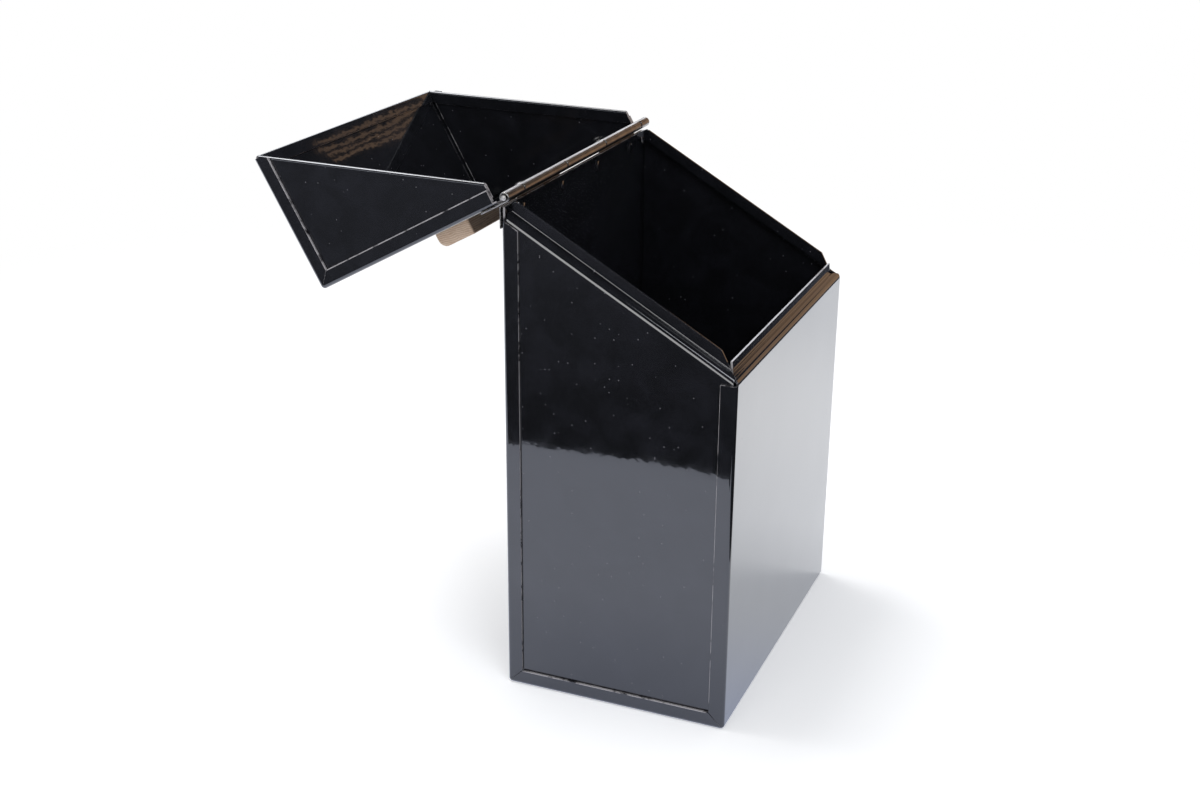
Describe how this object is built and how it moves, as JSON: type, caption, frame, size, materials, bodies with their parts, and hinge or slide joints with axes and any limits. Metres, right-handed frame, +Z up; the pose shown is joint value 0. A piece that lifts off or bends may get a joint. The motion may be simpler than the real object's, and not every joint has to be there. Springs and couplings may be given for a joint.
{
  "type": "kindling box",
  "caption": "Tall sheet-steel kindling box with a sloping rimmed opening and a wedge-shaped lid that swings back on a piano hinge along the rear top edge.",
  "frame": {"origin": "centre of the underside of the box, on the surface it stands on", "axes": "+Z up, -Y towards the low front of the opening, +Y towards the hinge at the back, +X along the hinge to the right of someone facing the front with the back away"},
  "size_m": [0.181, 0.2489, 0.2607],
  "materials": {
    "black_enamel": "high gloss black",
    "bright_steel": "bright, uncoated",
    "rivet_steel": "plain zinc",
    "pale_wood": "sanded, matt"
  },
  "bodies": {
    "box": {"body_wrap": "black_enamel", "body_side_left": "black_enamel", "body_side_right": "black_enamel", "hinge_leaf_body": "bright_steel", "hinge_pin": "bright_steel", "body_rivet_1": "rivet_steel", "body_rivet_2": "rivet_steel", "body_rivet_3": "rivet_steel", "body_rivet_4": "rivet_steel"},
    "lid": {"lid_wrap": "black_enamel", "lid_side_left": "black_enamel", "lid_side_right": "black_enamel", "hinge_leaf_lid": "bright_steel", "lid_grip": "pale_wood", "lid_rivet_1": "rivet_steel", "lid_rivet_2": "rivet_steel", "lid_rivet_3": "rivet_steel", "lid_rivet_4": "rivet_steel", "grip_screw_1": "bright_steel", "grip_screw_2": "bright_steel"}
  },
  "joints": [
    {"name": "lid_hinge", "type": "hinge", "parent": "box", "child": "lid", "pos_m": [0, 0.0566, 0.2543], "axis": [-1, 0, 0], "range_deg": [-209.2, 0]}
  ]
}
